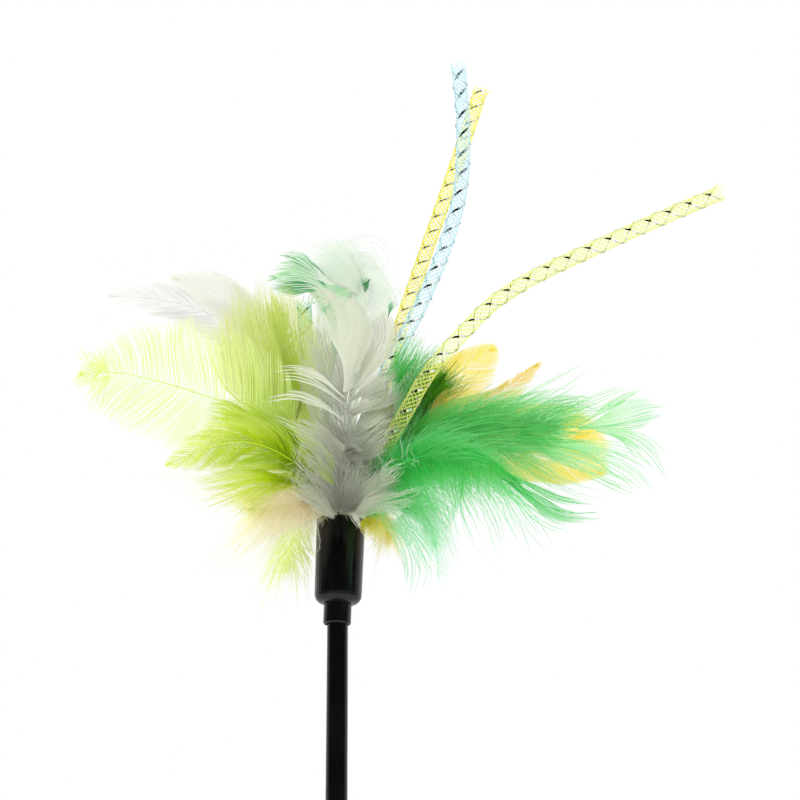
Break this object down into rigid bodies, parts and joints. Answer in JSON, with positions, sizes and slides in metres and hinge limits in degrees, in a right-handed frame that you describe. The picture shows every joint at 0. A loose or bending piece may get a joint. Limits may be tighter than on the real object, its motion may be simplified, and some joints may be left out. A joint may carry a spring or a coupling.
{
  "type": "feather wand toy",
  "caption": "Cat teaser wand: a thin tapered black stick with a push-on plastic cup that holds a spray of dyed feathers and springy braided mesh tubes.",
  "frame": {"origin": "centre of the butt cap's flat end face", "axes": "+Z along the stick from the butt to the head; -Y is the side that faces the viewer, and the longest-reaching mesh tube leans to +X"},
  "size_m": [0.1615, 0.0772, 0.4722],
  "materials": {
    "black_plastic": "satin moulded black plastic, lightly scuffed",
    "black_rubber": "matte soft black rubber",
    "hot_glue": "milky amber hot-melt glue",
    "binding_thread": "white waxed thread",
    "feather_white": "white feather with grey down at its root",
    "feather_pale_lime": "pale lime dyed feather, translucent",
    "feather_lime": "lime dyed feather, dense at its root",
    "feather_cream": "cream down with peach and lime tints",
    "feather_emerald": "emerald dyed feather with dark streaks",
    "feather_mint": "pale mint feather with green barb tips",
    "feather_green": "green dyed fluffy feather, pale at its tip",
    "feather_gold": "golden yellow dyed feather",
    "feather_moss": "dark moss green dyed feather",
    "mesh_blue": "pale blue braided filament with metallic threads",
    "mesh_yellow": "yellow braided filament with metallic threads",
    "mesh_lime": "lime braided filament with metallic threads",
    "mesh_green": "green braided filament with metallic threads"
  },
  "bodies": {
    "stick": {"rod": "black_plastic", "butt_cap": "black_rubber"},
    "head": {"head_cup": "black_plastic", "glue_plug": "hot_glue", "binding_thread": "binding_thread", "feather_white_front": "feather_white", "feather_lime_long": "feather_pale_lime", "feather_lime_upright": "feather_lime", "feather_lime_short": "feather_lime", "feather_white_wisp_low": "feather_white", "feather_white_wisp_high": "feather_white", "feather_cream_down": "feather_cream", "feather_lime_down": "feather_pale_lime", "feather_emerald_curl": "feather_emerald", "feather_mint_arch": "feather_mint", "feather_green_long": "feather_green", "feather_green_curl": "feather_green", "feather_gold_broad": "feather_gold", "feather_gold_round": "feather_gold", "feather_gold_narrow": "feather_gold", "feather_moss": "feather_moss", "feather_green_down": "feather_green", "feather_gold_down": "feather_gold", "mesh_tube_blue": "mesh_blue", "mesh_tube_yellow": "mesh_yellow", "mesh_tube_lime": "mesh_lime", "mesh_tube_green": "mesh_green"}
  },
  "joints": [
    {"name": "head_pull_off", "type": "slide", "parent": "stick", "child": "head", "axis": [0.0314, 0, 0.9995], "range_m": [0, 0.02]}
  ]
}
